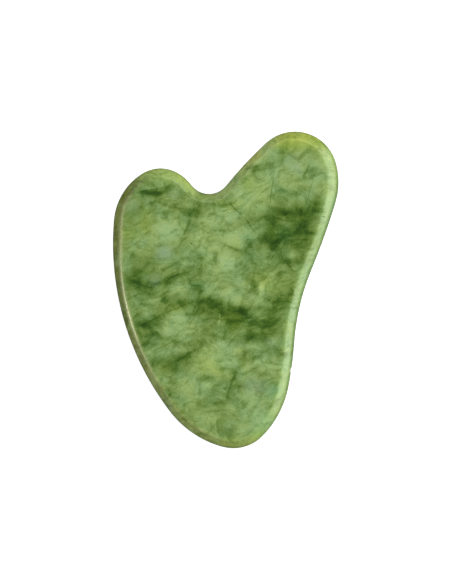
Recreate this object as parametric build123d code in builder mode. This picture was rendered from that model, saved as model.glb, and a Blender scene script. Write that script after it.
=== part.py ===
from build123d import *
from math import atan2, cos, hypot, pi, sin, sqrt
import os

# Heart-shaped gua sha scraper: one plate of polished jade, flat on both faces, with a tall lobe and a
# short lobe either side of a round notch, a long belly on the left, a blunt tip, and a shallow waist
# on the right. Millimetres. The plate lies on XY, +Z is its thickness and +Y its length, with the tall
# lobe at +Y. The origin is in the middle of the lower face.

# Overall size
LENGTH = 85.0
WIDTH = 55.4
THICKNESS = 6.0

# Lobes and the notch between them
TALL_LOBE_X = 15.6
TALL_LOBE_RADIUS = 11.05
LOBE_SIDE_RADIUS = 18.5
FLANK_RADIUS = 105.0
NOTCH_X = -6.35
NOTCH_Y = 26.3
NOTCH_RADIUS = 5.75
SADDLE_RADIUS = 11.4
CROWN_X = -16.75
CROWN_Y = 15.55
CROWN_RADIUS = 8.9
CHEEK_RADIUS = 15.85

# Belly and tip
BELLY_RADIUS = 72.0
TIP_X = 15.05
KEEL_RADIUS = 25.75
TIP_RADIUS = 10.65

# Right side, from the hip up to the tall lobe
HIP_RADIUS = 25.65
THIGH_RADIUS = 93.0
WAIST_X = 86.2
WAIST_Y = -0.5
WAIST_RADIUS = 60.9
SIDE_RADIUS = 200.0

# Ground edge: a bevel on each face and a rounded rim between the two bevels
BEVEL_WIDTH = 2.0
BEVEL_DEPTH = 1.8
ARRIS_RADIUS = 0.8
RIM_RADIUS = 1.8

# Slack when edges are chosen by height
HEIGHT_SLACK = 0.01


def nested_height(offset, outer_radius, inner_radius):
    """Height between the centres of two circles that touch from inside, offset sideways."""
    return sqrt((outer_radius - inner_radius) ** 2 - offset**2)


def blend(first, second, radius):
    """Arc of the given radius that touches both neighbours, on the left of the way from one to the other."""
    (x1, y1, r1), (x2, y2, r2) = first, second
    reach_1, reach_2 = radius - r1, radius - r2
    span = hypot(x2 - x1, y2 - y1)
    along = (reach_1**2 - reach_2**2 + span**2) / (2 * span)
    across = sqrt(reach_1**2 - along**2)
    ux, uy = (x2 - x1) / span, (y2 - y1) / span
    return (x1 + along * ux - across * uy, y1 + along * uy + across * ux, radius)


def touch_point(first, second):
    """Point where two neighbouring arcs meet without a corner."""
    (x1, y1, r1), (x2, y2, r2) = first, second
    span = hypot(x2 - x1, y2 - y1)
    sign = 1 if r1 > r2 else -1
    return (x1 + sign * r1 * (x2 - x1) / span, y1 + sign * r1 * (y2 - y1) / span)


# Each arc is (centre x, centre y, radius). A hollow arc has a negative radius.
tall_lobe = (TALL_LOBE_X, LENGTH / 2 - TALL_LOBE_RADIUS, TALL_LOBE_RADIUS)
notch = (NOTCH_X, NOTCH_Y, -NOTCH_RADIUS)
crown = (CROWN_X, CROWN_Y, CROWN_RADIUS)
keel = (TIP_X, KEEL_RADIUS - LENGTH / 2, KEEL_RADIUS)
tip = (TIP_X, TIP_RADIUS - LENGTH / 2, TIP_RADIUS)
waist = (WAIST_X, WAIST_Y, -WAIST_RADIUS)

# The cheek, the hip and the lobe's side each reach the full width and lie tangent to a smaller arc.
cheek_x = CHEEK_RADIUS - WIDTH / 2
cheek_y = CROWN_Y - nested_height(cheek_x - CROWN_X, CHEEK_RADIUS, CROWN_RADIUS)
cheek = (cheek_x, cheek_y, CHEEK_RADIUS)
hip_x = WIDTH / 2 - HIP_RADIUS
hip_y = tip[1] + nested_height(hip_x - TIP_X, HIP_RADIUS, TIP_RADIUS)
hip = (hip_x, hip_y, HIP_RADIUS)
lobe_side_x = WIDTH / 2 - LOBE_SIDE_RADIUS
lobe_side_y = tall_lobe[1] - nested_height(lobe_side_x - TALL_LOBE_X, LOBE_SIDE_RADIUS, TALL_LOBE_RADIUS)
lobe_side = (lobe_side_x, lobe_side_y, LOBE_SIDE_RADIUS)

# Anticlockwise round the plate
outline = [
    tall_lobe,
    blend(tall_lobe, notch, FLANK_RADIUS),
    notch,
    blend(notch, crown, SADDLE_RADIUS),
    crown,
    cheek,
    blend(cheek, keel, BELLY_RADIUS),
    keel,
    tip,
    hip,
    blend(hip, waist, THIGH_RADIUS),
    waist,
    blend(waist, lobe_side, SIDE_RADIUS),
    lobe_side,
]

with BuildPart() as jade_plate:
    with BuildSketch():
        with BuildLine():
            for i, (cx, cy, radius) in enumerate(outline):
                start = touch_point(outline[i - 1], outline[i])
                end = touch_point(outline[i], outline[(i + 1) % len(outline)])
                first_angle = atan2(start[1] - cy, start[0] - cx)
                turn = atan2(end[1] - cy, end[0] - cx) - first_angle
                turn = turn % (2 * pi) if radius > 0 else -(-turn % (2 * pi))
                half_way = first_angle + turn / 2
                middle = (cx + abs(radius) * cos(half_way), cy + abs(radius) * sin(half_way))
                ThreePointArc(start, middle, end)
        make_face()
    extrude(amount=THICKNESS)

    # Bevels on both faces
    for face in (faces().sort_by(Axis.Z)[-1], faces().sort_by(Axis.Z)[0]):
        chamfer(face.edges(), BEVEL_WIDTH, BEVEL_DEPTH, reference=face)

    # Softened arrises and rounded rim
    upper_face_edges = faces().sort_by(Axis.Z)[-1].edges()
    lower_face_edges = faces().sort_by(Axis.Z)[0].edges()
    fillet(upper_face_edges + lower_face_edges, ARRIS_RADIUS)
    lowest = BEVEL_DEPTH - HEIGHT_SLACK
    highest = THICKNESS - BEVEL_DEPTH + HEIGHT_SLACK
    rim_edges = edges().filter_by_position(Axis.Z, lowest, highest)
    fillet(rim_edges.filter_by(GeomType.CIRCLE), RIM_RADIUS)

jade_plate.part.label = "jade_plate"

os.makedirs("parts", exist_ok=True)
export_step(jade_plate.part, "parts/jade_plate.step")
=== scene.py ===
"""A polished jade gua sha plate on a pale studio floor."""
from math import atan2, cos, degrees, exp, hypot, pi, radians, sin, tan

import bmesh
import bpy
import numpy as np
from mathutils import Matrix, Vector, geometry, noise


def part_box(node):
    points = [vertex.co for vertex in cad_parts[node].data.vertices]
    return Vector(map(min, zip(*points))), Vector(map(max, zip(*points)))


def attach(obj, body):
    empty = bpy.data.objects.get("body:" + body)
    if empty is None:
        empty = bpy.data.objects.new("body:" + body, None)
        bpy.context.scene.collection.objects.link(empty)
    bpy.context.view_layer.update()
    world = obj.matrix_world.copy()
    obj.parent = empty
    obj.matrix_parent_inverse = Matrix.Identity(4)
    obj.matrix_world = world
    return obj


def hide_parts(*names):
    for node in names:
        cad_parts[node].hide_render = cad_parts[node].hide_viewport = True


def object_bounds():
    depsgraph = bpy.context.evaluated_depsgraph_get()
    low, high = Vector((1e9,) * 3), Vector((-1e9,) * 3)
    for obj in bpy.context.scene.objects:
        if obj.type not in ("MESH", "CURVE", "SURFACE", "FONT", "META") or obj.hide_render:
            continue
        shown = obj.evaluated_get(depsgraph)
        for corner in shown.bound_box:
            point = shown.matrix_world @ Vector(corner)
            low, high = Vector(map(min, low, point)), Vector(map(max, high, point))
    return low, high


MM = 0.001

# The photograph's view of the plate. Its frame is upright, and the plate lies turned in it.
IMAGE_HEIGHT = 0.15275
PLATE_TURN = radians(14.25)
CAMERA_DISTANCE = 0.9
CAMERA_TILT_RIGHT = radians(5.5)
CAMERA_TILT_UP = radians(2.5)
AIM = (5.70 * MM, -2.94 * MM)
SENSOR = 36.0
DOME_STRENGTH = 0.5

# Ground edge, as on the solid
BEVEL_WIDTH = 2.0 * MM
BEVEL_DEPTH = 1.8 * MM
ARRIS_RADIUS = 0.8 * MM
RIM_RADIUS = 1.8 * MM
# Width of the painted glint along the upper arris
ARRIS_GLINT = 0.42 * MM
BEVEL_UNEVENNESS = 0.06
BEVEL_WAVE = 11 * MM

# Where the hand-ground bevel is wider, in millimetres: x, y, reach along the edge, extra share
BEVEL_SWELLS = [
    (-27.0, 4.0, 7.0, 0.20),
    (27.4, 30.0, 6.0, 0.26),
    (24.5, 38.0, 6.0, 0.20),
    (25.5, -24.0, 7.0, 0.14),
    (20.5, -37.4, 5.0, 0.14),
]

# Chip in the rim: x and y in millimetres, reach and depth
CHIP = (27.3, -18.6)
CHIP_REACH = 0.5 * MM
CHIP_DEPTH = 0.3 * MM
# Height of the chip in millimetres, and the spread and strength of the white spot at it
CHIP_HEIGHT = 3.0
CHIP_HALO = (0.5, 0.5, 1.3)
CHIP_WHITENESS = 1.6

# How much the clouds fade at the thin edge, and how much painted light makes the stone paler there: all
# round, on the slope under the painted warm light, and more on the lit side
EDGE_CALM = 0.6
EDGE_PAINTED_LIGHT = 0.21
SLOPE_PAINTED_LIGHT = 0.04
LIT_SIDE_PAINTED_LIGHT = 0.6

# Bands of the ground edge, by nearness to the edge: 0.5 at the arris and 1.5 at the rim
RIM_START = 1.05
RIM_BLEND = 0.35
SLOPE_END = 1.3
SLOPE_BLEND = 0.5

# Mesh
OUTLINE_POINTS = 768
OUTLINE_SMOOTHING = 0.8 * MM
INNER_RINGS = (0.15 * MM, 0.45 * MM, 0.9 * MM)
GRID_STEP = 0.45 * MM
ROW_SPACING = 0.866 * GRID_STEP
GRID_MARGIN = 0.6 * GRID_STEP
LONG_WAVE = 9 * MM
SHORT_WAVE = 3.5 * MM
WAVE_DEPTH = 0.018 * MM

# Height of the upper face in millimetres, where the clouds and cracks are centred
UPPER_FACE = 6.0


# ---------------------------------------------------------------- plate mesh


def rim_outline(plate):
    """The widest section of the CAD plate, halfway up, as an ordered closed loop of complex numbers."""
    low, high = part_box(plate.name)
    bm = bmesh.new()
    bm.from_mesh(plate.data)
    bmesh.ops.remove_doubles(bm, verts=bm.verts, dist=1e-7)
    cut = bmesh.ops.bisect_plane(
        bm,
        geom=bm.verts[:] + bm.edges[:] + bm.faces[:],
        plane_co=(low + high) / 2,
        plane_no=(0, 0, 1),
    )
    cut_edges = {e for e in cut["geom_cut"] if isinstance(e, bmesh.types.BMEdge)}
    start = min(cut_edges, key=lambda e: (e.verts[0].co.x, e.verts[1].co.y))
    vert = start.verts[0]
    edge = start
    loop = []
    while cut_edges:
        loop.append(complex(vert.co.x, vert.co.y))
        cut_edges.discard(edge)
        vert = edge.other_vert(vert)
        following = [e for e in vert.link_edges if e in cut_edges]
        if not following:
            break
        edge = following[0]
    bm.free()
    loop = np.array(loop)
    area = np.sum((loop.conj() * np.roll(loop, -1)).imag) / 2
    return loop if area > 0 else loop[::-1]


def even_outline(loop):
    """Evenly spaced, slightly smoothed points of a closed loop, with the unit normals that point inward."""
    closed = np.append(loop, loop[0])
    along = np.concatenate([[0], np.cumsum(np.abs(np.diff(closed)))])
    count = OUTLINE_POINTS * 4
    steps = np.linspace(0, along[-1], count, endpoint=False)
    fine = np.interp(steps, along, closed.real) + 1j * np.interp(steps, along, closed.imag)
    waves = np.fft.fftfreq(count, along[-1] / count) * 2 * pi
    soft = np.fft.ifft(np.fft.fft(fine) * np.exp(-((waves * OUTLINE_SMOOTHING) ** 2) / 2))
    direction = np.fft.ifft(np.fft.fft(soft) * 1j * waves)
    inward = 1j * direction / np.abs(direction)
    return soft[::4], inward[::4]


def rounded_corner(before, corner, after, radius, steps):
    """Points of the arc that rounds one corner of a profile."""
    before, corner, after = (np.array(p, float) for p in (before, corner, after))
    to_before = (before - corner) / np.linalg.norm(before - corner)
    to_after = (after - corner) / np.linalg.norm(after - corner)
    half_angle = np.arccos(np.clip(to_before @ to_after, -1, 1)) / 2
    middle = (to_before + to_after) / np.linalg.norm(to_before + to_after)
    centre = corner + middle * radius / sin(half_angle)
    start = corner + to_before * radius / tan(half_angle) - centre
    finish = corner + to_after * radius / tan(half_angle) - centre
    sweep = pi - 2 * half_angle
    turn = sweep if start[0] * finish[1] - start[1] * finish[0] > 0 else -sweep
    angles = np.linspace(0, turn, steps)
    x, y = start
    return [centre + np.array([x * cos(a) - y * sin(a), x * sin(a) + y * cos(a)]) for a in angles]


def edge_profile(thickness):
    """(inset, height) pairs round the edge, from the upper face's border down to the lower face's."""
    face = (BEVEL_WIDTH * 2, thickness)
    arris = (BEVEL_WIDTH, thickness)
    rim = (0.0, thickness - BEVEL_DEPTH)
    middle = (0.0, thickness / 2)
    upper = rounded_corner(face, arris, rim, ARRIS_RADIUS, 7)
    rounded_rim = rounded_corner(arris, rim, middle, RIM_RADIUS, 8)
    bevel = [upper[-1] + (rounded_rim[0] - upper[-1]) * t for t in (0.25, 0.5, 0.75)]
    half = upper + bevel + rounded_rim
    border = half[0]
    half = [border + (extra, 0) for extra in reversed(INNER_RINGS)] + half
    lower = [np.array([inset, thickness - height]) for inset, height in reversed(half)]
    return half + [np.array(middle)] + lower


def smooth_noise(x, y, z, size, seed):
    """Perlin noise, about -1 to 1, with features of the given size."""
    return noise.noise(Vector((x / size + seed, y / size - seed, z / size + 2 * seed)))


def build_plate(cad_plate):
    """The plate as a smooth closed mesh with rounded arrises and the slight unevenness of hand grinding."""
    low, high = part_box(cad_plate.name)
    thickness = high.z - low.z
    outline, inward = even_outline(rim_outline(cad_plate))
    profile = edge_profile(thickness)
    count = len(outline)
    waves = np.array([smooth_noise(p.real, p.imag, 0, BEVEL_WAVE, 3.1) for p in outline])
    bevel_scale = 1 + BEVEL_UNEVENNESS * waves
    for x, y, reach, extra in BEVEL_SWELLS:
        bevel_scale += extra * np.exp(-((np.abs(outline - complex(x, y) * MM) / (reach * MM)) ** 2))

    bm = bmesh.new()
    rings = []
    for inset, height in profile:
        places = outline + inward * inset * bevel_scale
        rings.append([bm.verts.new((p.real, p.imag, low.z + height)) for p in places])
    for upper, lower in zip(rings, rings[1:]):
        for i in range(count):
            j = (i + 1) % count
            bm.faces.new((upper[i], lower[i], lower[j], upper[j]))
    fill_face(bm, rings[0], high.z, inward, upward=True)
    fill_face(bm, rings[-1], low.z, inward, upward=False)
    roughen(bm, low.z, high.z)

    mesh = bpy.data.meshes.new("jade_plate_polished")
    bm.to_mesh(mesh)
    bm.free()
    mesh.shade_smooth()
    insets, heights = np.array(profile).T
    arris_nearness = (heights > thickness / 2) * np.exp(-(((insets - BEVEL_WIDTH) / ARRIS_GLINT) ** 2))
    edge_nearness = np.clip(1.5 - insets / BEVEL_WIDTH, 0, 1.5)
    stain(mesh, np.repeat(arris_nearness, count), np.repeat(edge_nearness, count))
    piece = bpy.data.objects.new("jade_plate_polished", mesh)
    bpy.context.scene.collection.objects.link(piece)
    return piece


def fill_face(bm, ring, height, inward, upward):
    """Fills a flat face inside its border ring with a triangle grid."""
    border = np.array([complex(v.co.x, v.co.y) for v in ring])
    xs = np.arange(border.real.min(), border.real.max(), GRID_STEP)
    ys = np.arange(border.imag.min(), border.imag.max(), ROW_SPACING)
    grid = [complex(x + (row % 2) * GRID_STEP / 2, y) for row, y in enumerate(ys) for x in xs]
    inside = []
    for point in grid:
        nearest = np.argmin(np.abs(border - point))
        depth = ((point - border[nearest]) * inward[nearest].conjugate()).real
        if depth > GRID_MARGIN:
            inside.append(point)
    points = [Vector((p.real, p.imag)) for p in list(border) + inside]
    count = len(ring)
    edges = [(i, (i + 1) % count) for i in range(count)]
    places, _, triangles, origins, _, _ = geometry.delaunay_2d_cdt(points, edges, [], 1, 1e-9)
    verts = []
    for place, origin in zip(places, origins):
        if origin and origin[0] < count:
            verts.append(ring[origin[0]])
        else:
            verts.append(bm.verts.new((place.x, place.y, height)))
    for triangle in triangles:
        corners = [verts[i] for i in triangle]
        area = geometry.normal([v.co for v in corners]).z
        if (area > 0) != upward:
            corners.reverse()
        bm.faces.new(corners)


def roughen(bm, bottom, top):
    """Waves of a few hundredths of a millimetre in the ground faces, and one small chip in the rim."""
    middle = (bottom + top) / 2
    for v in bm.verts:
        x, y, z = v.co
        wave = smooth_noise(x, y, z, LONG_WAVE, 5.3) + 0.5 * smooth_noise(x, y, z, SHORT_WAVE, 9.7)
        dip = WAVE_DEPTH * (wave + 1.2)
        v.co.z -= dip if z > middle else -dip
        away = hypot(x - CHIP[0] * MM, y - CHIP[1] * MM, (z - middle) / 2.2) / CHIP_REACH
        if away < 2.5:
            ragged = 1 + 0.5 * smooth_noise(x, y, z, 0.5 * MM, 4.4)
            v.co.x -= CHIP_DEPTH * ragged * exp(-away * away)


# ---------------------------------------------------------------- material


def srgb(red, green, blue):
    """Linear colour from display values of 0 to 255."""
    channels = (c / 255 for c in (red, green, blue))
    return tuple(c / 12.92 if c <= 0.04045 else ((c + 0.055) / 1.055) ** 2.4 for c in channels)


class Graph:
    """Short names for the shader nodes that the stone is made from."""

    def __init__(self, material):
        self.tree = material.node_tree

    def add(self, kind, inputs=(), **settings):
        made = self.tree.nodes.new(kind)
        for name, value in settings.items():
            setattr(made, name, value)
        for socket, value in dict(inputs).items():
            if isinstance(value, bpy.types.NodeSocket):
                self.tree.links.new(value, made.inputs[socket])
            else:
                made.inputs[socket].default_value = value
        return made

    def math(self, operation, first, second=0.0, third=0.0, clamp=False):
        inputs = {0: first, 1: second, 2: third}
        return self.add("ShaderNodeMath", inputs, operation=operation, use_clamp=clamp).outputs[0]

    def vector(self, operation, first, second=(0, 0, 0)):
        return self.add("ShaderNodeVectorMath", {0: first, 1: second}, operation=operation).outputs[0]

    def scaled(self, vector, factor):
        inputs = {"Vector": vector, "Scale": factor}
        return self.add("ShaderNodeVectorMath", inputs, operation="SCALE").outputs[0]

    def placed(self, vector, centre, size, angle=0.0):
        """Coordinates in which a turned box of the given half sizes reaches from -1 to 1."""
        inputs = {"Vector": vector, "Location": centre, "Rotation": (0, 0, radians(angle)), "Scale": size}
        return self.add("ShaderNodeMapping", inputs, vector_type="TEXTURE").outputs[0]

    def noise(self, vector, scale, detail=3.0, roughness=0.5, output="Fac"):
        inputs = {"Vector": vector, "Scale": scale, "Detail": detail, "Roughness": roughness}
        return self.add("ShaderNodeTexNoise", inputs).outputs[output]

    def voronoi(self, vector, scale):
        """Distance from the middle of a cell, about 0 to 1."""
        return self.add("ShaderNodeTexVoronoi", {"Vector": vector, "Scale": scale}).outputs["Distance"]

    def seams(self, vector, scale, half_width):
        """A net of thin lines between cells, 1 along the middle, that come and go."""
        inputs = {"Vector": vector, "Scale": scale}
        made = self.add("ShaderNodeTexVoronoi", inputs, feature="DISTANCE_TO_EDGE")
        presence = self.fade(self.noise(vector, scale * 0.8, 1.0, 0.5), 0.35, 0.60)
        return self.math("MULTIPLY", self.fade(made.outputs["Distance"], half_width, 0.0), presence)

    def filaments(self, vector, scale, half_width):
        """Long wandering lines, 1 along the middle, that come and go."""
        noise_value = self.noise(vector, scale, 3.0, 0.5)
        ridge = self.math("ABSOLUTE", self.math("SUBTRACT", noise_value, 0.5))
        presence = self.fade(self.noise(vector, scale * 1.7, 1.0, 0.5), 0.35, 0.65)
        return self.math("MULTIPLY", self.fade(ridge, half_width, 0.0), presence)

    def fade(self, value, start, end, low=0.0, high=1.0):
        """Low before start, high after end, with a smooth change between."""
        inputs = {"Value": value, "From Min": start, "From Max": end, "To Min": low, "To Max": high}
        made = self.add("ShaderNodeMapRange", inputs, interpolation_type="SMOOTHSTEP", clamp=False)
        return made.outputs[0]

    def mix(self, factor, first, second):
        inputs = {0: factor, 6: first, 7: second}
        return self.add("ShaderNodeMix", inputs, data_type="RGBA").outputs[2]

    def ramp(self, factor, stops):
        made = self.add("ShaderNodeValToRGB", {"Fac": factor})
        elements = made.color_ramp.elements
        elements[0].position, elements[0].color = stops[0][0], (*stops[0][1], 1)
        elements[1].position, elements[1].color = stops[-1][0], (*stops[-1][1], 1)
        for position, colour in stops[1:-1]:
            elements.new(position).color = (*colour, 1)
        return made.outputs["Color"]

    def attribute(self, name):
        return self.add("ShaderNodeAttribute", attribute_name=name).outputs["Fac"]

    def hairlines(self, vector, places, depth):
        """Sum of thin straight cracks, each (x, y, x, y, half width, strength) in millimetres."""
        total = None
        for x1, y1, x2, y2, half_width, strength in places:
            middle = ((x1 + x2) / 2, (y1 + y2) / 2, UPPER_FACE)
            half_length = hypot(x2 - x1, y2 - y1) / 2
            angle = degrees(atan2(y2 - y1, x2 - x1))
            size = (half_length * 1.3, half_width * 1.5, depth)
            local = self.placed(vector, middle, size, angle)
            made = self.add("ShaderNodeTexGradient", {0: local}, gradient_type="SPHERICAL")
            nearness = made.outputs["Fac"]
            line = self.fade(nearness, 0.0, 0.8, 0.0, strength)
            total = line if total is None else self.math("ADD", total, line)
        return total


# Clouds in the stone, on the upper face: x, y, half length, half width, angle, strength
DARK_CLOUDS = [
    # short lobe
    (-18.6, 17.5, 2.4, 0.9, 8, 0.50),
    (-21.8, 17.0, 2.8, 0.8, 12, 0.22),
    (-15.8, 19.4, 1.8, 0.7, 42, 0.32),
    (-26.0, 16.6, 1.6, 2.0, 0, 0.30),
    (-15.0, 15.3, 2.8, 0.35, 2, 0.22),
    (-15.2, 12.9, 3.2, 0.40, 24, 0.25),
    (-20.8, 13.6, 0.8, 1.8, -20, 0.16),
    # below the notch
    (-7.3, 15.2, 1.6, 1.3, 30, 0.42),
    (-6.3, 18.2, 0.9, 1.9, -8, 0.25),
    (-7.8, 12.4, 0.5, 2.6, 6, 0.32),
    (-8.3, 8.4, 0.8, 2.6, 0, 0.24),
    (-2.6, 18.4, 3.4, 0.45, 16, 0.24),
    (-11.5, 17.0, 3.0, 2.2, 10, 0.12),
    # tall lobe
    (4.9, 30.0, 1.6, 0.9, 12, 0.34),
    (8.3, 31.9, 2.2, 0.9, 16, 0.32),
    (11.2, 35.3, 0.8, 2.2, 0, 0.26),
    (16.7, 29.9, 0.9, 0.6, 30, 0.22),
    (19.6, 38.3, 1.6, 1.6, 0, 0.18),
    (1.3, 28.4, 1.2, 1.8, -30, 0.14),
    (14.2, 26.2, 1.7, 0.5, 25, 0.16),
    # shoulder cloud
    (16.6, 21.2, 4.4, 1.4, 8, 0.42),
    (21.4, 20.6, 1.9, 2.6, 15, 0.46),
    (22.8, 24.6, 1.9, 2.2, -20, 0.46),
    (20.6, 17.4, 2.0, 1.6, 0, 0.24),
    (12.2, 18.6, 1.6, 2.4, 10, 0.22),
    (13.6, 13.6, 1.7, 1.9, 20, 0.50),
    (16.6, 14.2, 2.2, 1.2, 12, 0.46),
    (15.4, 11.6, 1.5, 0.9, -10, 0.36),
    (11.6, 11.2, 1.0, 2.2, -10, 0.18),
    (18.0, 12.0, 5.6, 4.2, 30, 0.14),
    (19.6, 8.6, 1.6, 0.8, 0, 0.55),
    (21.7, 9.6, 1.1, 0.7, 20, 0.24),
    (21.6, 6.6, 1.8, 0.6, -35, 0.22),
    (23.4, 12.6, 0.8, 2.2, 0, 0.20),
    (13.6, 17.0, 0.9, 2.2, 0, 0.22),
    (13.0, 12.8, 1.3, 0.9, 10, 0.24),
    # centre
    (3.4, 14.2, 1.2, 0.4, -50, 0.20),
    (1.6, 12.8, 1.1, 0.45, 20, 0.20),
    (0.3, 15.4, 0.5, 0.7, 0, 0.18),
    (3.6, 9.0, 2.6, 0.3, 0, 0.14),
    (6.4, 8.4, 1.1, 0.5, 20, 0.24),
    (8.3, 9.8, 1.0, 1.6, -10, 0.60),
    (9.9, 7.2, 1.4, 1.3, 0, 0.22),
    (4.4, 8.7, 2.8, 0.5, 0, 0.14),
    (7.9, 4.7, 1.6, 1.0, 20, 0.28),
    (14.2, 5.5, 1.6, 0.5, 22, 0.18),
    (18.2, 5.2, 0.7, 1.4, 0, 0.14),
    (12.0, 4.5, 0.7, 4.0, 0, 0.12),
    (4.2, 1.6, 1.0, 0.7, 0, 0.12),
    (-2.8, 4.1, 1.0, 0.7, 0, 0.20),
    (-2.2, 1.4, 0.6, 1.6, 0, 0.14),
    (-0.8, 9.3, 1.4, 0.35, 8, 0.28),
    (2.2, 12.7, 1.6, 0.5, 8, 0.18),
    (-1.6, 12.3, 1.0, 0.4, 0, 0.12),
    (-12.4, 5.6, 2.8, 0.6, 24, 0.18),
    (22.4, 2.0, 0.9, 2.2, 0, 0.30),
    # left
    (-17.2, -3.6, 2.2, 1.0, 12, 0.38),
    (-17.6, -6.1, 1.6, 1.1, 0, 0.34),
    (-14.8, -7.4, 2.4, 1.1, -5, 0.36),
    (-7.9, -2.0, 2.6, 0.8, 36, 0.42),
    (-11.2, -4.3, 2.6, 1.2, 20, 0.22),
    (-1.4, -4.4, 2.2, 0.8, 22, 0.26),
    # middle band
    (11.6, -7.4, 2.3, 1.8, -6, 0.45),
    (7.8, -6.4, 3.2, 0.8, 0, 0.34),
    (1.6, -6.4, 2.4, 1.0, 8, 0.34),
    (4.6, -8.0, 6.0, 1.8, 0, 0.16),
    (-5.4, -8.9, 1.9, 0.9, 18, 0.42),
    (-2.2, -7.6, 2.2, 0.9, 20, 0.30),
    (-8.0, -11.6, 0.9, 1.9, -28, 0.34),
    (-9.3, -8.8, 0.8, 0.8, 0, 0.26),
    (9.8, -9.8, 2.0, 0.9, 15, 0.22),
    (16.4, -4.3, 2.0, 0.7, 16, 0.34),
    (20.2, -2.9, 1.5, 1.8, -15, 0.34),
    (19.4, -7.0, 1.4, 2.2, 10, 0.34),
    (16.4, -9.0, 2.4, 0.8, 10, 0.30),
    (14.4, -11.8, 1.2, 1.5, 0, 0.32),
    (17.0, -12.2, 2.6, 1.0, 14, 0.30),
    (21.0, -1.0, 1.8, 1.6, 0, 0.18),
    (9.0, -12.0, 2.6, 1.6, 0, 0.16),
    (8.4, -14.5, 2.8, 0.6, 4, 0.26),
    (5.6, -14.6, 0.9, 1.1, 0, 0.22),
    (20.8, -14.4, 1.9, 0.8, 10, 0.20),
    # lower left
    (-12.2, -16.2, 2.5, 0.9, 14, 0.52),
    (-9.7, -14.2, 0.9, 1.4, -35, 0.34),
    (-10.4, -18.6, 1.9, 0.6, 24, 0.28),
    (-9.4, -21.4, 1.5, 0.9, 20, 0.28),
    (-12.2, -22.1, 1.2, 0.8, 0, 0.28),
    (-5.0, -18.6, 2.8, 0.5, 8, 0.22),
    (-1.4, -22.4, 1.8, 1.3, 30, 0.48),
    (0.8, -20.4, 1.5, 0.8, 52, 0.30),
    (-3.6, -25.4, 2.0, 1.2, 12, 0.38),
    (-8.0, -26.0, 0.7, 1.2, 0, 0.20),
    (2.8, -17.6, 0.8, 1.9, -20, 0.30),
    (1.8, -15.4, 1.4, 0.9, 10, 0.22),
    (-2.6, -28.8, 0.9, 1.0, 0, 0.14),
    # tip
    (14.6, -18.2, 0.9, 2.1, 0, 0.34),
    (13.4, -23.6, 0.9, 2.6, 0, 0.36),
    (13.0, -29.2, 0.4, 1.6, 0, 0.20),
    (17.6, -17.4, 1.9, 0.7, 42, 0.24),
    (20.6, -21.2, 1.8, 0.6, 10, 0.26),
    (6.0, -25.9, 2.3, 0.8, 4, 0.24),
    (10.4, -31.6, 2.0, 1.2, 4, 0.15),
    (16.6, -32.4, 1.0, 0.9, 0, 0.28),
    (17.1, -29.8, 0.7, 0.5, 0, 0.16),
    (12.5, -37.4, 0.4, 1.6, 18, 0.10),
    (16.2, -37.5, 1.5, 1.3, 0, 0.10),
    (21.5, -36.8, 1.5, 0.7, 12, 0.18),
    (-1.0, -32.5, 1.6, 0.45, 0, 0.22),
    (6.4, -33.0, 0.5, 0.9, 0, 0.16),
]
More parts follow.
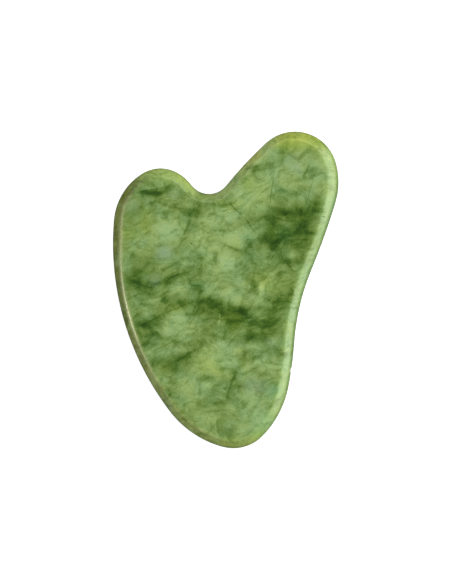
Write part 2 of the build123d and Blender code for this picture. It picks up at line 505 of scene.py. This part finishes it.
LIGHT_CELLS = [
    # pale streaks beside the shoulder cloud and the bright spot near the waist
    (20.4, 11.2, 1.6, 0.7, 45, 0.30),
    (14.8, 0.4, 0.9, 1.4, 0, 0.40),
    # short lobe
    (-13.6, 8.7, 3.0, 2.2, 12, 0.30),
    (-11.2, 10.8, 2.2, 1.4, 0, 0.18),
    (-10.6, 21.4, 2.6, 0.9, -28, 0.38),
    (-23.6, 13.4, 1.8, 1.6, 0, 0.16),
    (-14.0, 18.4, 1.8, 1.0, 0, 0.16),
    (-19.6, 14.4, 0.8, 1.6, 0, 0.14),
    (-8.4, 18.6, 0.9, 1.5, 0, 0.18),
    (-19.6, 2.6, 2.6, 1.4, 0, 0.20),
    # centre
    (-2.8, 14.4, 2.2, 1.7, 0, 0.26),
    (1.8, 16.0, 2.0, 2.0, 10, 0.30),
    (-4.6, 10.2, 2.0, 1.6, 0, 0.18),
    (-3.4, 7.4, 2.4, 1.4, 0, 0.22),
    (5.2, 13.2, 2.2, 1.5, 10, 0.26),
    (2.6, 10.7, 2.2, 1.1, 0, 0.20),
    (3.6, 5.5, 2.6, 1.3, 6, 0.34),
    (0.4, 7.4, 1.4, 1.0, 0, 0.20),
    (4.2, 3.4, 2.0, 0.9, 0, 0.14),
    (-5.6, 1.6, 1.8, 1.2, 0, 0.20),
    (-11.0, -0.6, 2.0, 1.1, 20, 0.20),
    (-12.8, -2.8, 1.7, 1.9, 30, 0.18),
    (9.0, 0.6, 2.2, 1.2, 10, 0.18),
    # tall lobe
    (6.6, 20.2, 3.6, 1.3, 4, 0.26),
    (5.3, 26.8, 1.4, 1.9, 0, 0.28),
    (8.6, 28.2, 1.8, 1.7, 0, 0.20),
    (3.2, 22.8, 3.4, 1.5, 12, 0.22),
    (9.0, 23.6, 2.6, 1.3, 0, 0.22),
    (5.0, 33.4, 1.6, 1.2, 50, 0.26),
    (17.4, 25.2, 2.0, 1.2, 10, 0.22),
    (8.4, 36.0, 1.2, 2.0, 0, 0.18),
    (15.6, 33.6, 2.2, 2.4, 0, 0.12),
    (22.4, 34.0, 1.8, 3.0, 20, 0.14),
    (16.6, 18.6, 1.5, 1.0, 0, 0.14),
    # right
    (20.2, 11.6, 1.9, 1.2, 22, 0.22),
    (14.0, 8.0, 1.1, 0.9, 0, 0.22),
    (16.8, 3.6, 2.4, 2.2, 0, 0.16),
    (14.8, 0.6, 1.0, 1.5, 0, 0.38),
    (14.4, -2.9, 1.5, 1.3, 10, 0.24),
    (12.6, 3.0, 1.0, 1.4, 0, 0.14),
    (16.4, -6.4, 1.5, 1.1, 0, 0.20),
    (12.4, -11.4, 1.4, 1.4, 0, 0.22),
    (20.6, -11.8, 1.7, 1.2, 0, 0.20),
    (22.4, -6.0, 1.1, 2.0, 0, 0.14),
    (16.8, -14.6, 2.4, 0.8, 12, 0.16),
    # middle
    (3.0, -4.0, 2.6, 1.0, 0, 0.22),
    (8.2, -3.4, 3.0, 1.3, 0, 0.24),
    (6.0, -2.0, 1.8, 0.9, 0, 0.14),
    (-5.8, -5.0, 2.2, 1.1, 22, 0.24),
    (-8.0, -6.8, 1.4, 0.9, 20, 0.10),
    # lower left
    (-12.0, -9.4, 2.1, 1.3, 15, 0.24),
    (-13.0, -13.2, 1.4, 1.4, 0, 0.26),
    (-17.0, -9.8, 1.6, 1.4, 0, 0.12),
    (-5.6, -13.6, 2.8, 1.6, 22, 0.28),
    (-7.0, -16.5, 1.5, 1.1, 0, 0.28),
    (-1.6, -14.6, 2.2, 1.0, 25, 0.20),
    (-6.6, -22.2, 2.6, 1.1, 16, 0.28),
    (-2.4, -20.2, 2.0, 0.8, 25, 0.16),
    (-9.4, -24.2, 1.2, 1.0, 0, 0.14),
    # tip
    (7.6, -17.2, 3.2, 1.1, 14, 0.26),
    (11.4, -17.0, 1.5, 0.9, 10, 0.26),
    (6.2, -19.8, 2.6, 1.6, 20, 0.22),
    (11.6, -20.2, 2.2, 1.0, 22, 0.22),
    (6.6, -23.0, 2.0, 1.5, 0, 0.18),
    (9.2, -23.4, 1.8, 0.6, 0, 0.24),
    (2.2, -28.6, 1.9, 1.5, 0, 0.22),
    (7.4, -27.9, 1.5, 0.6, 4, 0.28),
    (4.6, -28.6, 1.5, 1.5, 0, 0.14),
    (19.0, -18.8, 2.3, 1.2, 10, 0.22),
    (23.6, -18.6, 2.0, 1.4, 0, 0.18),
    (16.6, -22.0, 1.4, 1.2, 0, 0.14),
    (18.6, -26.0, 1.5, 1.2, 0, 0.14),
    (22.4, -31.6, 2.2, 2.4, 0, 0.18),
    (9.0, -36.4, 1.9, 1.7, 0, 0.20),
    (4.0, -36.0, 1.7, 1.0, -20, 0.18),
    (18.4, -36.8, 1.3, 1.0, 0, 0.14),
    (10.6, -28.6, 1.1, 1.4, 0, 0.12),
    (-15.4, 23.4, 3.0, 1.2, -8, 0.22),
    (-21.4, 20.8, 2.0, 1.4, 20, 0.10),
]
YELLOW_TINTS = [
    (-17.0, 23.0, 6.0, 2.4, 4, 0.7),
    (-10.2, 21.0, 3.0, 1.4, -35, 0.7),
    (-1.0, 19.6, 5.0, 1.2, 0, 0.5),
    (13.0, 40.6, 8.0, 3.0, 4, 1.0),
    (23.0, 37.6, 3.0, 1.6, -50, 0.5),
    (11.3, 37.4, 1.6, 2.6, 0, 0.6),
    (18.6, 40.8, 3.0, 1.2, -20, 0.5),
    (14.0, -41.4, 6.5, 1.4, 2, 0.6),
    (22.6, -38.2, 3.4, 1.4, 38, 0.6),
    (-18.9, 9.8, 1.6, 3.2, 0, 0.5),
    (-22.2, 6.0, 2.4, 1.8, 0, 0.5),
    (-26.2, 16.4, 1.2, 2.4, 0, 0.5),
    (9.0, -8.8, 3.6, 2.0, 0, 0.5),
    (9.6, -11.0, 1.9, 1.5, 0, 0.4),
    (15.6, 2.0, 3.4, 3.2, 0, 0.4),
    (7.0, -22.0, 3.4, 3.4, 20, 0.4),
    (5.0, 26.2, 1.6, 2.2, 0, 0.6),
    (23.6, 25.4, 1.2, 2.2, 0, 0.5),
    (-4.6, -9.6, 3.2, 1.0, 22, 0.4),
    (-4.4, -26.0, 1.8, 1.2, 0, 0.4),
    (20.6, -4.0, 3.0, 6.0, 0, 0.25),
    (14.8, -19.6, 1.2, 1.2, 0, 0.4),
]
BROWN_TINTS = [
    (4.6, 33.2, 2.6, 0.8, 58, 0.6),
    (1.6, 25.2, 1.5, 1.0, 60, 0.4),
    (5.0, -38.2, 2.4, 1.2, -20, 0.5),
    (0.4, -34.6, 2.4, 1.0, -38, 0.5),
    (-5.4, -31.0, 2.8, 1.0, -45, 0.5),
    (-18.6, -9.6, 0.9, 2.0, 20, 0.4),
    (15.6, -26.0, 1.4, 1.0, 0, 0.35),
    (-11.4, 10.4, 1.0, 0.7, 0, 0.3),
    (-12.6, -18.4, 1.4, 0.7, 20, 0.35),
]
MILKY_SPOTS = [
    (-12.2, 3.2, 1.9, 1.7, 0, 1.0),
    (14.0, 34.4, 1.5, 1.9, 0, 0.3),
    (16.0, 33.0, 1.6, 1.9, 0, 0.4),
    (19.6, -24.6, 2.6, 1.7, 10, 0.6),
    (-13.0, -4.2, 1.6, 1.4, 30, 0.35),
    (-14.0, 18.2, 1.6, 0.9, 0, 0.3),
    (-23.6, 13.2, 1.6, 1.6, 0, 0.35),
    (20.4, -12.6, 1.4, 1.0, 0, 0.3),
]
TEAL_TINTS = [
    (16.2, 16.6, 1.9, 1.3, 0, 0.8),
    (16.8, 14.0, 1.7, 1.1, 0, 0.6),
    (8.2, 12.0, 1.5, 1.0, 0, 0.6),
    (13.6, 26.2, 1.4, 0.8, 0, 0.6),
    (24.0, -24.6, 1.3, 1.9, 0, 0.7),
    (-1.8, -3.0, 1.6, 1.1, 0, 0.6),
    (-11.8, -14.6, 1.8, 0.9, 20, 0.5),
    (-9.2, -8.8, 1.1, 0.9, 0, 0.6),
    (17.2, -12.4, 2.2, 1.0, 12, 0.4),
    (-16.0, -4.2, 1.1, 0.9, 0, 0.4),
    (9.8, 7.4, 1.5, 1.1, 0, 0.4),
    (8.6, 20.6, 1.7, 1.0, 0, 0.4),
    (-5.4, -14.4, 1.6, 1.0, 0, 0.3),
    (22.0, -32.0, 2.4, 2.4, 0, 0.25),
]
# Broad darker and, with a negative strength, paler zones
ZONES = [
    # darker: shoulder, middle band, left, lower left, short lobe, below the notch, waist
    (18, 18, 7, 7, 0, 0.25),
    (9, -8, 14, 3, 0, 0.20),
    (-16, -6, 6, 5, 0, 0.20),
    (-12, -17, 5, 4, 25, 0.20),
    (-3, -23, 6, 3, 35, 0.15),
    (-20, 18, 6, 3, 10, 0.10),
    (-7, 15, 3, 4, 0, 0.10),
    (-8, -2, 5, 2, 30, 0.10),
    (21, -2, 3, 6, 0, 0.15),
    (17, -11, 5, 3, 0, 0.10),
    (13, -24, 2, 7, 0, 0.05),
    (-1, -3, 3, 3, 0, 0.10),
    (7, -12, 6, 3, 0, 0.10),
    # paler: middle, beside the notch, tall lobe, ovals below the band, tip
    (1, 12, 7, 6, 0, -0.15),
    (-13, 9, 5, 4, 0, -0.15),
    (4, 4, 6, 3, 0, -0.10),
    (6, -2, 7, 2, 0, -0.10),
    (7, 23, 7, 3, 0, -0.15),
    (14, 32, 8, 7, 0, -0.10),
    (14, 41, 8, 3, 0, -0.20),
    (3, 31, 2, 3, -45, -0.20),
    (-15, 22, 6, 2, 0, -0.10),
    (-4, -13, 5, 3, 20, -0.10),
    (8, -20, 5, 5, 0, -0.15),
    (21, -23, 4, 6, 0, -0.10),
    (20, -32, 5, 6, 0, -0.15),
    (5, -31, 5, 5, 0, -0.10),
]
# Painted light: a light green glow of the thin edge on the lit side, which also makes the stone there paler
PAINTED_RIM_LIGHT = [
    (27.5, 34.0, 9.0, 4.0, 85, 1.0),
    (25.0, 14.0, 12.0, 4.0, 72, 1.0),
    (24.0, -6.0, 12.0, 4.0, 90, 1.0),
    (26.0, -24.0, 9.0, 4.0, 80, 1.0),
    (21.0, -36.0, 6.0, 4.0, 50, 1.0),
]
# Painted shade: a darker line round the outermost rim
PAINTED_RIM_SHADE = [
    (27.5, 30.0, 9.0, 4.0, 90, 1.0),
    (25.0, 14.0, 12.0, 4.0, 72, 1.0),
    (24.0, -6.0, 12.0, 4.0, 90, 1.0),
    (26.0, -24.0, 9.0, 4.0, 80, 0.7),
    (21.0, -37.0, 6.0, 4.0, 50, 0.4),
    (1.0, -37.0, 10.0, 3.0, -32, 0.25),
    (14.0, 42.0, 7.0, 3.0, 0, 0.15),
]
# Painted light: warm light through the thin edge away from the lit side, with speckle, which also makes the
# slope paler
PAINTED_RIM_WARM_LIGHT = [
    (12.0, 41.0, 10.0, 4.0, 8, 1.0),
    (3.0, 31.5, 11.0, 3.0, 55, 0.7),
    (-15.0, 24.0, 8.0, 3.0, 0, 0.4),
    (14.0, -41.5, 9.0, 4.0, 0, 1.0),
    (0.0, -36.0, 9.0, 4.0, -38, 1.0),
    (-12.0, -27.0, 7.0, 4.0, -52, 0.8),
]
# Painted shade: the ground edge darker and olive-brown, mostly on the left, shaded side
PAINTED_BEVEL_SHADE = [
    (-26.4, 16.0, 5.0, 4.0, 55, 1.2),
    (-27.8, 6.0, 9.0, 4.0, 88, 1.6),
    (-22.5, -11.5, 10.0, 4.0, -66, 1.6),
    (-13.0, -26.0, 6.0, 4.0, -52, 0.9),
    (-4.0, -34.5, 5.0, 3.5, -44, 0.35),
    (-3.5, 20.6, 4.5, 2.0, 0, 0.35),
]
# Painted glint: pale stretches along the upper arris
PAINTED_ARRIS_GLINT = [
    (-26.2, 11.0, 4.0, 3.0, 90, 0.22),
    (-26.4, 4.0, 5.0, 3.0, -88, 0.42),
    (-25.2, -3.0, 6.0, 3.0, -76, 0.70),
    (-21.5, -12.0, 7.0, 3.0, -64, 1.00),
    (-17.0, -19.0, 6.0, 3.0, -58, 1.00),
    (-10.5, -27.5, 5.0, 3.0, -50, 0.45),
]
CLOUD_FIELDS = {
    "zones_and_painted_edge_light": ZONES,
    "dark_clouds": DARK_CLOUDS,
    "light_cells": LIGHT_CELLS,
    "yellow_tints": YELLOW_TINTS,
    "brown_tints": BROWN_TINTS,
    "milky_spots": MILKY_SPOTS,
    "teal_tints": TEAL_TINTS,
}
# Painted light and painted shade on the ground edge
RIM_FIELDS = {
    "painted_bevel_shade": PAINTED_BEVEL_SHADE,
    "painted_rim_light": PAINTED_RIM_LIGHT,
    "painted_rim_warm_light": PAINTED_RIM_WARM_LIGHT,
    "painted_rim_shade": PAINTED_RIM_SHADE,
}
CLOUD_THICKNESS = 8.0
# A cloud fades to nothing at this many times its half length and half width
CLOUD_REACH = 1.85
# Wandering of the clouds from their ellipses: size of the features, reach, shift of the noise
SLOW_WANDER = (7.0, 0.3, 17.0)
QUICK_WANDER = (2.2, 0.5, 29.0)
# Without a seed, the noise vectors start from the clock and differ in each run
WANDER_SEED = 1
# Thin cracks and specks: x and y of both ends, half width, strength
HAIRLINES = [
    (8.0, 20.6, 8.4, 20.8, 0.30, 0.45),
    (-6.1, 6.9, -5.9, 7.5, 0.28, 0.40),
    (25.6, 22.4, 25.9, 22.8, 0.28, 0.50),
    (5.9, -8.3, 6.1, -9.8, 0.22, -0.30),
    (6.1, -9.6, 6.2, -12.4, 0.22, -0.24),
    (10.6, 30.4, 11.6, 21.0, 0.18, 0.26),
    (18.9, 35.6, 18.1, 30.2, 0.22, 0.34),
    (20.7, 32.0, 20.6, 25.0, 0.20, 0.22),
    (0.6, 20.2, 5.2, 17.6, 0.22, 0.28),
    (5.2, 17.6, 9.6, 14.2, 0.22, 0.26),
    (-7.8, 14.0, -8.6, 8.4, 0.24, 0.22),
    (10.6, -19.1, 13.2, -18.0, 0.20, 0.28),
    (13.6, -20.6, 12.9, -29.8, 0.24, 0.20),
    (-14.4, -17.6, -8.4, -12.4, 0.26, 0.24),
    (-8.4, -12.4, -3.0, -8.2, 0.26, 0.22),
    (-4.0, -25.4, 2.6, -18.6, 0.24, 0.20),
    (-10.4, -3.6, -5.6, -0.2, 0.22, 0.22),
    (15.8, 35.6, 14.8, 27.0, 0.18, 0.12),
    (3.4, 28.9, 9.8, 31.6, 0.24, 0.16),
    (-24.6, 16.0, -15.2, 20.2, 0.24, 0.20),
    (19.0, 9.2, 21.8, 6.6, 0.22, 0.20),
    (11.8, -35.2, 13.4, -39.4, 0.22, 0.22),
    (2.0, 8.9, 7.4, 8.4, 0.20, 0.18),
    (11.8, -2.2, 12.0, 6.6, 0.20, 0.14),
]


def wander(points, size, reach, shift):
    """Moves points, in millimetres, by noise with features of the given size."""
    moves = [noise.noise_vector(Vector(p) / size + Vector((shift, shift, shift))) for p in points]
    return points + reach * np.array(moves)


def cloud_field(points, places):
    """Sum at each point of soft ellipses, each (x, y, half length, half width, angle, strength)."""
    total = np.zeros(len(points))
    for x, y, half_length, half_width, angle, strength in places:
        turn = radians(angle)
        dx, dy, dz = (points - (x, y, UPPER_FACE)).T
        along = (dx * cos(turn) + dy * sin(turn)) / half_length
        across = (dy * cos(turn) - dx * sin(turn)) / half_width
        distance = np.sqrt(along**2 + across**2 + (dz / CLOUD_THICKNESS) ** 2)
        nearness = np.clip((CLOUD_REACH - distance) / CLOUD_REACH, 0, 1)
        total += strength * nearness**2 * (3 - 2 * nearness)
    return total


def stain(mesh, arris_nearness, edge_nearness):
    """Stores the listed clouds on the mesh, one number for each vertex and list.

    The clouds are fainter at the thin edge, and the stone is painted paler there, as painted light where
    light comes through it. Painted light, painted shade and a painted glint are stored for the ground edge
    as well.
    """
    points = np.empty(len(mesh.vertices) * 3)
    mesh.vertices.foreach_get("co", points)
    points = points.reshape(-1, 3) / MM
    noise.seed_set(WANDER_SEED)
    bent = wander(wander(points, *SLOW_WANDER), *QUICK_WANDER)
    fields = {name: cloud_field(bent, places) for name, places in CLOUD_FIELDS.items()}
    edge = np.zeros(len(points))
    edge[: len(edge_nearness)] = edge_nearness
    rim = np.clip((edge - RIM_START) / RIM_BLEND, 0, 1)
    slope = np.clip((SLOPE_END - edge) / SLOPE_BLEND, 0, 1)
    edge = np.minimum(edge, 1)
    for name, places in RIM_FIELDS.items():
        fields[name] = np.minimum(cloud_field(points, places), 1) * np.minimum(edge * 2, 1)
    # The painted rim shade lies only on the outermost band of the rim
    fields["painted_rim_shade"] *= rim
    for name in ("zones_and_painted_edge_light", "dark_clouds", "light_cells"):
        fields[name] *= 1 - EDGE_CALM * edge
    # Painted light: the stone paler at the thin edge, more on the lit side, and on the slope under the
    # painted warm light
    fields["zones_and_painted_edge_light"] -= EDGE_PAINTED_LIGHT * edge * (1 + LIT_SIDE_PAINTED_LIGHT * fields["painted_rim_light"])
    fields["zones_and_painted_edge_light"] -= SLOPE_PAINTED_LIGHT * slope * fields["painted_rim_warm_light"]
    # Painted glint along the upper arris
    fields["painted_glint_and_chip_white"] = np.zeros(len(points))
    fields["painted_glint_and_chip_white"][: len(arris_nearness)] = arris_nearness
    fields["painted_glint_and_chip_white"] *= cloud_field(points, PAINTED_ARRIS_GLINT)
    # A white spot at the chip, stored with the painted glint
    away = (points - (*CHIP, CHIP_HEIGHT)) / CHIP_HALO
    fields["painted_glint_and_chip_white"] += CHIP_WHITENESS * np.exp(-np.sum(away**2, axis=1))
    for name, values in fields.items():
        mesh.attributes.new(name, "FLOAT", "POINT").data.foreach_set("value", values)


# Bedding of the stone: the noise is stretched along a slant and bent, in millimetres and degrees
BEDDING_STRETCH = (1.6, 1.0, 1.2)
BEDDING_ANGLE = 32
SLOW_SWIRL = 9.0
QUICK_SWIRL = 1.0

# Depth of colour: its middle, the shares of some layers, and the part of the ramp that it runs over
BASE_DEPTH = 0.475
CLOUD_SHARE = 0.14
LIGHT_SHARE = 0.7
RIM_SPECKLE = 0.9
MILKY_SHARE = 0.5
RAMP_SHARE = 0.72
RAMP_START = 0.10


def jade():
    """Cloudy green stone: solid noise and ridged veins, with the larger clouds given one by one."""
    material = bpy.data.materials.new("veined_jade")
    material.use_nodes = True
    g = Graph(material)
    shader = g.tree.nodes["Principled BSDF"]
    place = g.scaled(g.add("ShaderNodeTexCoord").outputs["Object"], 1 / MM)

    # Slow and quick bending of the clouds, in millimetres
    slow = g.vector("SUBTRACT", g.noise(place, 0.10, 1.0, 0.5, "Color"), (0.5, 0.5, 0.5))
    quick = g.vector("SUBTRACT", g.noise(place, 0.45, 3.0, 0.6, "Color"), (0.5, 0.5, 0.5))
    bent = g.vector("ADD", place, g.scaled(quick, QUICK_SWIRL))
    swirled = g.vector("ADD", bent, g.scaled(slow, SLOW_SWIRL))
    along = g.placed(swirled, (0, 0, 0), BEDDING_STRETCH, BEDDING_ANGLE)

    # Cottony cells with darker seams, long filaments, wisps and grain
    clouds = g.noise(along, 0.12, 2.0, 0.5)
    cells = g.fade(g.voronoi(along, 0.19), 0.25, 0.95)
    small_cells = g.fade(g.voronoi(along, 0.48), 0.25, 0.95)
    net = g.seams(g.vector("ADD", along, g.scaled(quick, 1.6)), 0.26, 0.16)
    wisps = g.noise(along, 0.6, 4.0, 0.6)
    grain = g.noise(place, 2.2, 4.0, 0.75)
    filaments = g.filaments(along, 0.16, 0.06)
    threads = g.filaments(along, 0.36, 0.09)
    fibres = g.filaments(along, 0.8, 0.14)
    cracks = g.hairlines(g.vector("ADD", place, g.scaled(quick, 1.2)), HAIRLINES, 6.0)

    # 0 is the palest stone and 1 the darkest
    depth = g.math("MULTIPLY_ADD", g.math("SUBTRACT", clouds, 0.5), CLOUD_SHARE, BASE_DEPTH)
    for layer, middle, strength in (
        (cells, 0.45, 0.10),
        (small_cells, 0.45, 0.10),
        (net, 0.2, 0.12),
        (wisps, 0.5, 0.32),
        (grain, 0.5, 0.68),
        (filaments, 0.15, 0.15),
        (threads, 0.20, 0.16),
        (fibres, 0.25, 0.10),
    ):
        depth = g.math("MULTIPLY_ADD", g.math("SUBTRACT", layer, middle), strength, depth)
    # Broad zones of the stone, together with the painted light of the thin edge
    depth = g.math("ADD", depth, g.attribute("zones_and_painted_edge_light"))
    breakup = g.fade(wisps, 0.30, 0.70, 0.55, 1.05)
    depth = g.math("MULTIPLY_ADD", g.attribute("dark_clouds"), breakup, depth)
    depth = g.math("ADD", depth, cracks)
    depth = g.math("MULTIPLY_ADD", g.attribute("light_cells"), -LIGHT_SHARE, depth)

    # Room at both ends, so that the palest and darkest places keep their texture
    stops = [
        (0.00, srgb(176, 198, 140)),
        (0.10, srgb(164, 190, 126)),
        (0.28, srgb(145, 172, 108)),
        (0.46, srgb(118, 146, 80)),
        (0.64, srgb(88, 118, 48)),
        (0.82, srgb(62, 94, 30)),
        (1.00, srgb(42, 72, 18)),
    ]
    speckle = g.math("SUBTRACT", g.noise(place, 0.8, 4.0, 0.7), 0.5)
    speckle = g.math("MULTIPLY", speckle, RIM_SPECKLE)
    # Speckle in the stone where the painted warm light lies
    depth = g.math("MULTIPLY_ADD", g.attribute("painted_rim_warm_light"), speckle, depth)
    depth = g.math("MULTIPLY_ADD", depth, RAMP_SHARE, RAMP_START)
    colour = g.ramp(depth, stops)
    hue = g.noise(place, 0.16, 3.0, 0.6)
    mottle = g.fade(g.noise(place, 0.7, 3.0, 0.6), 0.34, 0.62, 0.55, 1.25)
    cool = g.vector("MULTIPLY", colour, (0.95, 1.0, 1.06))
    warm = g.vector("MULTIPLY", colour, (1.04, 1.0, 0.88))
    colour = g.mix(g.fade(hue, 0.36, 0.64), cool, warm)
    # Tints of the stone, then painted light and painted shade on the ground edge
    for name, factors in (
        ("yellow_tints", (1.05, 1.0, 0.55)),
        ("brown_tints", (1.12, 0.95, 0.72)),
        ("teal_tints", (0.74, 0.94, 1.05)),
        ("painted_bevel_shade", (0.68, 0.56, 0.44)),
        ("painted_rim_warm_light", (1.14, 1.02, 0.98)),
        ("painted_rim_light", (0.99, 1.04, 0.94)),
        ("painted_rim_shade", (0.62, 0.68, 0.58)),
    ):
        amount = g.attribute(name)
        if name in ("painted_bevel_shade", "painted_rim_warm_light"):
            amount = g.math("MULTIPLY", amount, mottle)
        tinted = g.vector("MULTIPLY", colour, factors)
        colour = g.mix(g.math("MINIMUM", amount, 1.0), colour, tinted)
    milky = g.math("MULTIPLY", g.attribute("milky_spots"), MILKY_SHARE, clamp=True)
    colour = g.mix(milky, colour, (*srgb(146, 170, 146), 1))
    # Painted glint: a pale yellowish white along the arris, and the white spot at the chip
    sparkle = g.fade(g.noise(place, 2.2, 3.0, 0.7), 0.32, 0.60, 0.2, 1.0)
    glint_and_chip_share = g.math("MULTIPLY", g.attribute("painted_glint_and_chip_white"), sparkle, clamp=True)
    colour = g.mix(glint_and_chip_share, colour, (*srgb(230, 234, 174), 1))
    g.tree.links.new(colour, shader.inputs["Base Color"])

    roughness = g.fade(grain, 0.3, 0.7, 0.16, 0.26)
    g.tree.links.new(roughness, shader.inputs["Roughness"])
    shader.inputs["Subsurface Weight"].default_value = 0.25
    shader.inputs["Subsurface Radius"].default_value = (0.8, 1.0, 0.4)
    shader.inputs["Subsurface Scale"].default_value = 1.2 * MM
    shader.inputs["IOR"].default_value = 1.6
    shader.inputs["Specular IOR Level"].default_value = 0.34
    return material


# ---------------------------------------------------------------- studio


def floor(height):
    """A pale floor that fades into the backdrop."""
    bpy.ops.mesh.primitive_circle_add(vertices=96, radius=3.0, fill_type="NGON", location=(0, 0, height))
    piece = bpy.context.object
    piece.name = "studio_floor"
    material = bpy.data.materials.new("pale_floor")
    material.use_nodes = True
    shader = material.node_tree.nodes["Principled BSDF"]
    shader.inputs["Base Color"].default_value = (0.80, 0.80, 0.80, 1)
    shader.inputs["Roughness"].default_value = 0.7
    shader.inputs["Specular IOR Level"].default_value = 0.2
    shader.inputs["Emission Color"].default_value = (1, 1, 1, 1)
    shader.inputs["Emission Strength"].default_value = 0.7
    piece.data.materials.append(material)
    piece.visible_diffuse = False
    piece.visible_glossy = False
    piece.visible_shadow = False


def image_direction(right, up, towards_camera):
    """A direction given in the photograph's axes, turned into the plate's."""
    across = Vector((cos(PLATE_TURN), sin(PLATE_TURN), 0))
    upward = Vector((-sin(PLATE_TURN), cos(PLATE_TURN), 0))
    return (across * right + upward * up + Vector((0, 0, towards_camera))).normalized()


def softbox(name, direction, distance, width, height, power, target):
    """A rectangular lamp that faces the plate."""
    lamp = bpy.data.lights.new(name, "AREA")
    lamp.shape = "RECTANGLE"
    lamp.size = width
    lamp.size_y = height
    lamp.energy = power
    piece = bpy.data.objects.new(name, lamp)
    piece.location = target + direction * distance
    piece.rotation_euler = direction.to_track_quat("Z", "Y").to_euler()
    piece.visible_camera = False
    bpy.context.scene.collection.objects.link(piece)


def studio(target):
    scene = bpy.context.scene
    world = bpy.data.worlds.new("studio")
    world.use_nodes = True
    g = Graph(world)
    backdrop = g.tree.nodes["Background"]
    backdrop.inputs["Color"].default_value = (1, 1, 1, 1)
    direction = g.add("ShaderNodeTexCoord").outputs["Generated"]
    height = g.add("ShaderNodeSeparateXYZ", {0: direction}).outputs["Z"]
    rise = g.fade(height, 0.10, 0.50, 0.05, DOME_STRENGTH)
    dome = g.math("MULTIPLY", rise, g.fade(height, 0.70, 0.97, 1.0, 0.12))
    seen = g.add("ShaderNodeLightPath").outputs["Is Camera Ray"]
    g.tree.links.new(g.math("MAXIMUM", dome, seen), backdrop.inputs["Strength"])
    scene.world = world
    scene.view_settings.view_transform = "Standard"
    softbox("key", image_direction(0.95, 0.25, 1.0), 1.0, 1.6, 1.6, 6.6, target)
    softbox("window", image_direction(1.0, 0.05, 0.30), 0.8, 1.2, 0.5, 4.2, target)
    softbox("top_fill", image_direction(-0.2, 0.8, 0.80), 1.1, 2.0, 1.0, 4.8, target)
    softbox("left_strip", image_direction(-0.80, -0.20, 1.0), 0.8, 0.05, 0.20, 1.1, target)


def camera(target):
    view = image_direction(tan(CAMERA_TILT_RIGHT), tan(CAMERA_TILT_UP), 1.0)
    data = bpy.data.cameras.new("camera")
    data.sensor_width = SENSOR
    data.lens = SENSOR * CAMERA_DISTANCE / IMAGE_HEIGHT
    piece = bpy.data.objects.new("camera", data)
    piece.location = target + view * CAMERA_DISTANCE
    up = image_direction(0, 1, 0)
    across = up.cross(view).normalized()
    upright = view.cross(across)
    piece.rotation_euler = Matrix((across, upright, view)).transposed().to_euler()
    bpy.context.scene.collection.objects.link(piece)
    bpy.context.scene.camera = piece


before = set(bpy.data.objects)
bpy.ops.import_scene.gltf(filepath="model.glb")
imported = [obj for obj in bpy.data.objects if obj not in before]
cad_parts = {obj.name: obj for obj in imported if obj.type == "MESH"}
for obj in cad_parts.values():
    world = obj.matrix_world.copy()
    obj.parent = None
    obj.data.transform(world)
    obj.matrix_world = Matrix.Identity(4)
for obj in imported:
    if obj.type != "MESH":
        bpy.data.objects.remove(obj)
cad_low, cad_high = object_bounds()
plate = build_plate(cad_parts["jade_plate"])
plate.data.materials.append(jade())
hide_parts("jade_plate")
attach(plate, "root")

target = Vector((AIM[0], AIM[1], (cad_low.z + cad_high.z) / 2))
floor(cad_low.z - 0.02 * MM)
studio(target)
camera(target)
